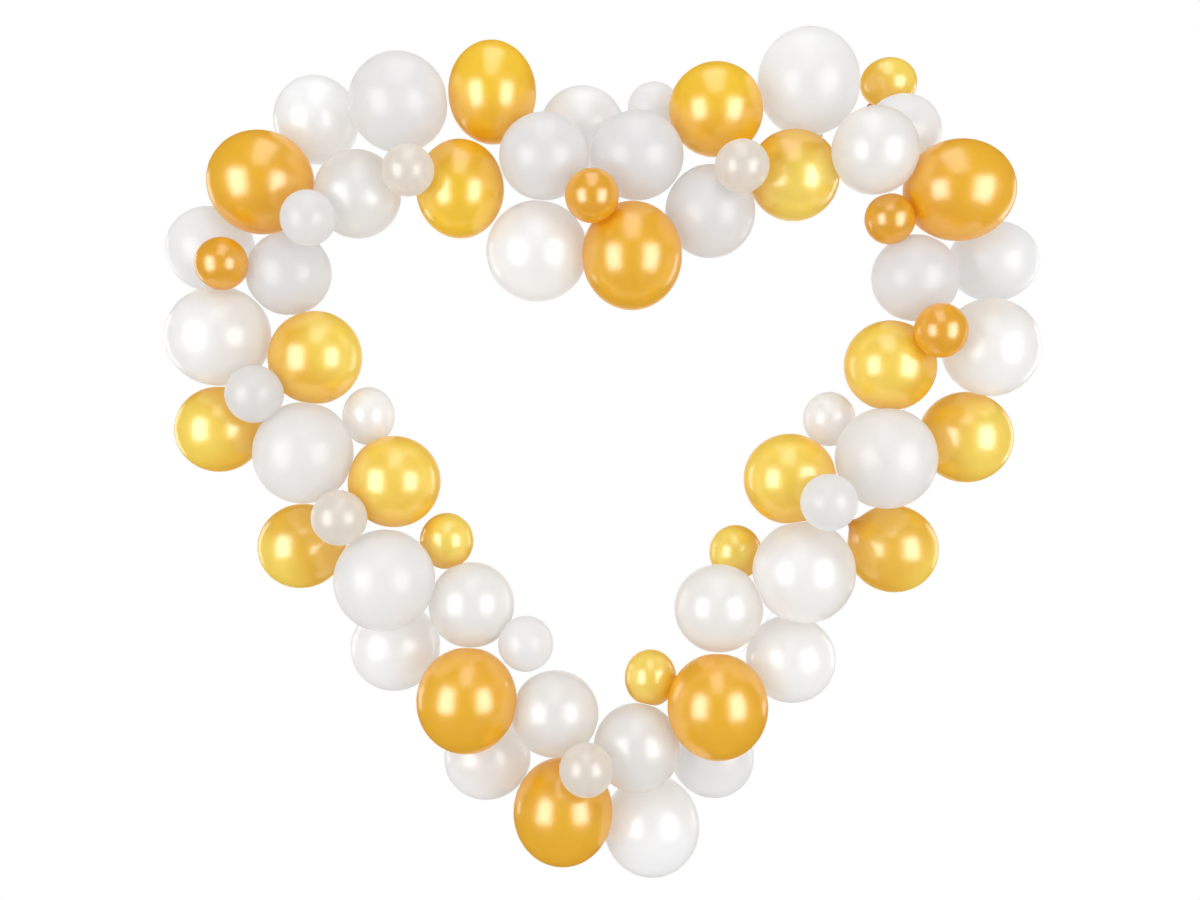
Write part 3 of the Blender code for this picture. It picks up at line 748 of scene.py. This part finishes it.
def clear_plastic():
    """Clear plastic with faint lines of the extrusion."""
    made, links, shader, add = new_material("clear_strip_plastic")
    place = add("ShaderNodeTexCoord")
    lines = add("ShaderNodeTexWave", wave_type="BANDS", bands_direction="Y")
    lines.inputs["Scale"].default_value = 180.0
    lines.inputs["Distortion"].default_value = 0.6
    links.new(place.outputs["Object"], lines.inputs["Vector"])
    bump = add("ShaderNodeBump")
    bump.inputs["Strength"].default_value = 0.04
    bump.inputs["Distance"].default_value = 0.0004
    links.new(lines.outputs["Fac"], bump.inputs["Height"])
    links.new(bump.outputs["Normal"], shader.inputs["Normal"])
    cloudy = blend(add, links, noise(add, links, 30.0), (1.0, 1.0, 1.0), (0.96, 0.98, 0.99))
    links.new(cloudy, shader.inputs["Base Color"])
    shader.inputs["Roughness"].default_value = 0.06
    shader.inputs["IOR"].default_value = 1.06
    shader.inputs["Transmission Weight"].default_value = 1.0
    return made


def add_strip():
    """The band with its holes, in place of its solid."""
    mesh = bmesh.new()
    stations = []
    for number, (start, end) in enumerate(RUNS):
        cells = max(1, round((end - start).length / CELL))
        plain = number in [2 * run for run in LEVEL_RUNS] or number % 2 == 1
        stations += [(start.lerp(end, cell / cells), plain) for cell in range(cells)]
    half = Vector((0, STRIP_WIDTH / 2, 0))
    low = [mesh.verts.new(point - half) for point, _ in stations]
    edges = [mesh.edges.new(pair) for pair in zip(low, low[1:] + low[:1])]
    band = bmesh.ops.extrude_edge_only(mesh, edges=edges)
    raised = [part for part in band["geom"] if isinstance(part, bmesh.types.BMVert)]
    bmesh.ops.translate(mesh, verts=raised, vec=half * 2)
    mesh.faces.ensure_lookup_table()
    cells = [face for face, (_, plain) in zip(mesh.faces, stations) if not plain]
    bmesh.ops.inset_individual(mesh, faces=cells, thickness=0.0035)
    corners = list({vert for face in cells for vert in face.verts})
    bmesh.ops.bevel(
        mesh, geom=corners, offset=0.003, offset_type="OFFSET", affect="VERTICES", segments=4, profile=0.5, material=-1
    )
    holes = [face for face in mesh.faces if len(face.verts) > 8]
    bmesh.ops.delete(mesh, geom=holes, context="FACES_ONLY")
    bmesh.ops.recalc_face_normals(mesh, faces=mesh.faces[:])
    strip = add_piece("clear_garland_strip", mesh, clear_plastic(), ["garland_strip"])
    wall = strip.modifiers.new("wall", "SOLIDIFY")
    wall.thickness = STRIP_THICKNESS
    wall.offset = 0
    wall.use_even_offset = True
    return strip, len(holes)


strip, holes = add_strip()
print("strip holes:", holes)

# %% [markdown]
# The picture is a studio one: white all round, two upright softboxes in front at either side and one overhead, which
# every shiny balloon mirrors as two upright patches and one above them. A white wall behind and darkness round the
# camera give the clean bright rims. The floor is plain and pale, and lies below the view.

# %% Light, surroundings and floor


def softbox(name, place, width, height, radiance, only_mirrored=False):
    """An even soft light that faces the middle of the heart. Its power follows from how bright its face is."""
    data = bpy.data.lights.new(name, "AREA")
    data.shape = "RECTANGLE"
    data.size = width
    data.size_y = height
    data.energy = radiance * math.pi * width * height
    light = bpy.data.objects.new(name, data)
    light.location = MIDDLE + Vector(place)
    light.rotation_euler = Vector(place).to_track_quat("Z", "Y").to_euler()
    light.visible_camera = False
    light.visible_diffuse = light.visible_transmission = not only_mirrored
    bpy.context.scene.collection.objects.link(light)
    return light


softbox("left_softbox", (-2.12, -2.12, 0.0), 1.9, 2.6, 2.3)
softbox("right_softbox", (2.12, -2.12, 0.0), 1.9, 2.6, 2.3)
softbox("left_glow", (-2.1, -2.1, 0.0), 1.9, 2.6, 3.0, only_mirrored=True)
softbox("right_glow", (2.1, -2.1, 0.0), 1.9, 2.6, 3.0, only_mirrored=True)
softbox("top_softbox", (0.0, -1.27, 2.85), 1.7, 3.8, 1.8)
softbox("left_rim_light", (-3.2, 2.2, 0.0), 0.4, 2.6, 6.0)
softbox("right_rim_light", (3.2, 2.2, 0.0), 0.4, 2.6, 6.0)


def surroundings():
    """White to the camera. For the light, a white wall behind and a dim room in front, dimmer still to mirror."""
    world = bpy.data.worlds.new("studio")
    world.use_nodes = True
    nodes, links = world.node_tree.nodes, world.node_tree.links
    nodes.clear()
    place = nodes.new("ShaderNodeTexCoord")
    axes = nodes.new("ShaderNodeSeparateXYZ")
    links.new(place.outputs["Generated"], axes.inputs["Vector"])

    def room(low, high, front, back):
        """A grey room whose back wall is lighter."""
        wall = nodes.new("ShaderNodeMapRange")
        wall.interpolation_type = "SMOOTHSTEP"
        for socket, value in zip(wall.inputs[1:5], (low, high, front, back)):
            socket.default_value = value
        links.new(axes.outputs["Y"], wall.inputs["Value"])
        shade = nodes.new("ShaderNodeBackground")
        links.new(wall.outputs["Result"], shade.inputs["Strength"])
        shade.inputs["Color"].default_value = (1, 1, 1, 1)
        return shade.outputs["Background"]

    white = nodes.new("ShaderNodeBackground")
    white.inputs["Color"].default_value = (1, 1, 1, 1)
    ray = nodes.new("ShaderNodeLightPath")
    mirrored = nodes.new("ShaderNodeMixShader")
    either = nodes.new("ShaderNodeMixShader")
    output = nodes.new("ShaderNodeOutputWorld")
    links.new(ray.outputs["Is Glossy Ray"], mirrored.inputs["Fac"])
    links.new(room(-0.9, 0.3, 0.38, 1.28), mirrored.inputs[1])
    links.new(room(0.80, 1.0, 0.04, 0.95), mirrored.inputs[2])
    seen = nodes.new("ShaderNodeMath")
    seen.operation = "MAXIMUM"
    links.new(ray.outputs["Is Camera Ray"], seen.inputs[0])
    links.new(ray.outputs["Is Transmission Ray"], seen.inputs[1])
    links.new(seen.outputs["Value"], either.inputs["Fac"])
    links.new(mirrored.outputs["Shader"], either.inputs[1])
    links.new(white.outputs["Background"], either.inputs[2])
    links.new(either.outputs["Shader"], output.inputs["Surface"])
    bpy.context.scene.world = world


def add_floor():
    """A plain pale floor under the garland."""
    mesh = bmesh.new()
    bmesh.ops.create_grid(mesh, x_segments=2, y_segments=2, size=2.0)
    bmesh.ops.translate(mesh, verts=mesh.verts[:], vec=(0, -0.1, -2.12))
    data = bpy.data.meshes.new("floor")
    mesh.to_mesh(data)
    mesh.free()
    made, links, shader, add = new_material("pale_floor")
    worn = spread(add, links, noise(add, links, 3.0), 0.3, 0.7, 0.80, 0.82)
    links.new(worn, shader.inputs["Base Color"])
    shader.inputs["Roughness"].default_value = 0.7
    data.materials.append(made)
    floor = bpy.data.objects.new("floor", data)
    floor.visible_glossy = False
    bpy.context.scene.collection.objects.link(floor)


surroundings()
add_floor()
bpy.context.scene.view_settings.view_transform = "Standard"
